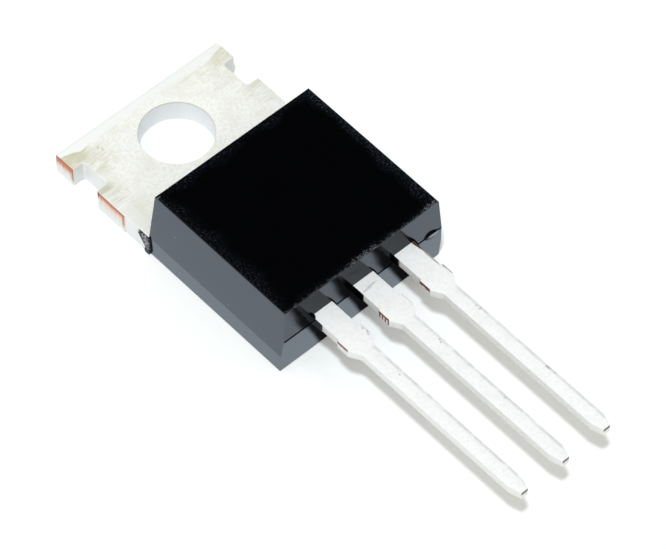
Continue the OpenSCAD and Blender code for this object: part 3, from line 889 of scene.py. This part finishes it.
def lead_marks(recipe, spot):
    """Brown marks on the leads: specks, a scar, painted shade in a fold, and tarnished edges and cuts."""
    top = LEAD_TOP
    specks = recipe.marks(spot, (
        (-PITCH + 0.13, -18.12, top), (0.2, -18.04, top), (0.26, -17.9, top),
        (PITCH + 0.25, -17.64, top), (PITCH + 0.3, -17.88, top), (PITCH + 0.22, -17.87, top),
        (PITCH + 0.33, -22.74, top),
    ), (0.05, 0.09, 0.06))
    edge_specks = recipe.marks(spot, (
        (-PITCH + 0.63, -15.1, top), (-PITCH + 0.66, -15.36, top), (-PITCH + 0.6, -15.5, top),
        (0.25, -22.23, top),
    ), (0.05, 0.12, 0.06))
    # Painted shade in a fold across the middle lead, tinted brown
    fold_shade = recipe.marks(spot, (
        (0.03, LEAD_FACE - 0.5, top), (-0.25, LEAD_FACE - 0.56, top),
    ), (0.4, 0.07, 0.1))
    scar = recipe.marks(spot, ((PITCH + 0.3, -22.3, top),), (0.06, 0.2, 0.06))
    corner = recipe.marks(spot, ((-PITCH - ROOT_HALF, LEAD_FACE - 0.12, top),), (0.1, 0.13, 0.2))
    stain = recipe.noise(spot, (0.3, 0.14, 0.3), detail=2, shift=(4, 0, 2))
    cut_faces = cut_dams(recipe, spot) * recipe.blend(recipe.rise(stain, 0.4, 0.6), 0.95, 0.7)
    faint = specks * 0.4 | edge_specks * 0.35 | fold_shade * 0.28
    return corner | scar * 0.6 | faint | far_rim(recipe, spot) | cut_faces


def far_rim(recipe, spot):
    """Tarnished line along the output lead's outer edge: dark by the moulding, paler on the cut stub."""
    x, y, z = recipe.split(spot)
    ragged = recipe.noise(spot, (0.2, 0.3, 0.1), detail=2, shift=(1, 2, 3))
    out = x - PITCH + (ragged - 0.5) * 0.1
    top = recipe.rise(z, LEAD_TOP - 0.14, LEAD_TOP - 0.06)
    wider = recipe.rise(y, LEAD_FACE - 0.6, LEAD_FACE - 0.2) * 0.06
    root = recipe.rise(out + wider, ROOT_HALF - 0.12, ROOT_HALF - 0.06)
    root = root * recipe.within(y, LEAD_FACE - 1.6, LEAD_FACE, 0.3)
    root = root * recipe.blend(recipe.rise(y, LEAD_FACE - 1.0, LEAD_FACE - 0.3), 0.6, 1.0)
    stub = recipe.rise(out, STUB_HALF - 0.1, STUB_HALF - 0.04)
    stub = stub * recipe.within(y, DAM_STOP + 0.1, DAM_START - 0.1, 0.08)
    return top * (root | stub * 0.6)


class REGULATOR_OT_heat_tab(bpy.types.Operator):
    """Finish the heat tab with the ground lead"""

    bl_idname = "regulator.heat_tab"
    bl_label = "Heat Tab with Ground Lead"

    def execute(self, context):
        plating = context.scene.regulator_plating
        material = plating_material(plating)
        worked_copy("heat_tab_with_ground_lead", "tab_plate", plating.rolled_edge, material)
        return {"FINISHED"}


class REGULATOR_OT_leads(bpy.types.Operator):
    """Finish the input and output leads"""

    bl_idname = "regulator.leads"
    bl_label = "Input and Output Leads"

    def execute(self, context):
        plating = context.scene.regulator_plating
        material = bpy.data.materials.get("tin_plate") or plating_material(plating)
        for node in ("input_lead", "output_lead"):
            worked_copy(node, f"{node}_plate", plating.rolled_edge, material)
        return {"FINISHED"}


def silicon_material(inside):
    """Polished silicon with a paler field of cells on its face."""
    recipe = new_material("chip_silicon")
    spot = recipe.spot()
    cells = recipe.node("ShaderNodeTexBrick", {"offset": 0.0}, {
        "Vector": spot, "Scale": 1.0,
        "Mortar Size": CELL_GAP, "Brick Width": CELL_SIZE, "Row Height": CELL_SIZE,
    }, out="Fac")
    cloud = recipe.noise(spot, (0.6, 0.6, 0.6))
    colour = recipe.mix(cells, inside.silicon, [level * 0.5 for level in inside.silicon])
    return recipe.finish({"Base Color": colour, "Metallic": 0.6, "Roughness": 0.16 + cloud * 0.1})


def solder_material(inside):
    """Dull grey solder that froze in small ripples."""
    recipe = new_material("chip_solder_metal")
    ripple = recipe.noise(recipe.spot(), (0.25, 0.25, 0.1), detail=3)
    colour = recipe.mix(ripple, [level * 0.85 for level in inside.solder], inside.solder)
    return recipe.finish({
        "Base Color": colour, "Metallic": 0.7, "Roughness": 0.35 + ripple * 0.2,
        "Normal": recipe.bump(ripple, 0.01),
    })


def wire_material(inside):
    """Aluminium wire with fine drawing lines along it."""
    recipe = new_material("bond_wire_metal")
    spot = recipe.spot()
    drawn = recipe.noise(spot, (0.03, 1.2, 0.6), detail=2)
    colour = recipe.mix(drawn, [level * 0.92 for level in inside.wire], inside.wire)
    return recipe.finish({
        "Base Color": colour, "Metallic": 0.9, "Roughness": 0.25 + drawn * 0.15,
        "Normal": recipe.bump(drawn, 0.003),
    })


class REGULATOR_OT_inside(bpy.types.Operator):
    """Finish the chip, its solder and the bond wires"""

    bl_idname = "regulator.inside"
    bl_label = "Chip and Wires"

    def execute(self, context):
        inside = context.scene.regulator_inside
        nodes = frame["nodes"]
        dress(nodes["chip"], silicon_material(inside))
        dress(nodes["chip_solder"], solder_material(inside))
        wire = wire_material(inside)
        for name in ("input_wire", "output_wire", "ground_wire"):
            dress(nodes[name], wire)
        return {"FINISHED"}


class REGULATOR_PT_sidebar(bpy.types.Panel):
    """Lists the finishing steps"""

    bl_idname = "REGULATOR_PT_sidebar"
    bl_label = "Voltage Regulator"
    bl_space_type = "VIEW_3D"
    bl_region_type = "UI"
    bl_category = "Regulator"

    def draw(self, context):
        for step in STEPS:
            self.layout.operator(step.bl_idname)


STEPS = (
    REGULATOR_OT_stage,
    REGULATOR_OT_moulding,
    REGULATOR_OT_heat_tab,
    REGULATOR_OT_leads,
    REGULATOR_OT_inside,
)
SETTINGS = {
    "regulator_stage": RegulatorStageSettings,
    "regulator_moulding": RegulatorMouldingSettings,
    "regulator_plating": RegulatorPlatingSettings,
    "regulator_inside": RegulatorInsideSettings,
}


def register():
    """Adds the settings, the steps and the panel to Blender."""
    for name, group in SETTINGS.items():
        bpy.utils.register_class(group)
        setattr(bpy.types.Scene, name, bpy.props.PointerProperty(type=group))
    for cls in (*STEPS, REGULATOR_PT_sidebar):
        bpy.utils.register_class(cls)


def unregister():
    """Takes them out again."""
    for cls in (REGULATOR_PT_sidebar, *reversed(STEPS)):
        bpy.utils.unregister_class(cls)
    for name, group in SETTINGS.items():
        delattr(bpy.types.Scene, name)
        bpy.utils.unregister_class(group)


def main():
    """Runs the steps in order."""
    register()
    bpy.ops.regulator.stage()
    bpy.ops.regulator.moulding()
    bpy.ops.regulator.heat_tab()
    bpy.ops.regulator.leads()
    bpy.ops.regulator.inside()


if __name__ == "__main__":
    main()
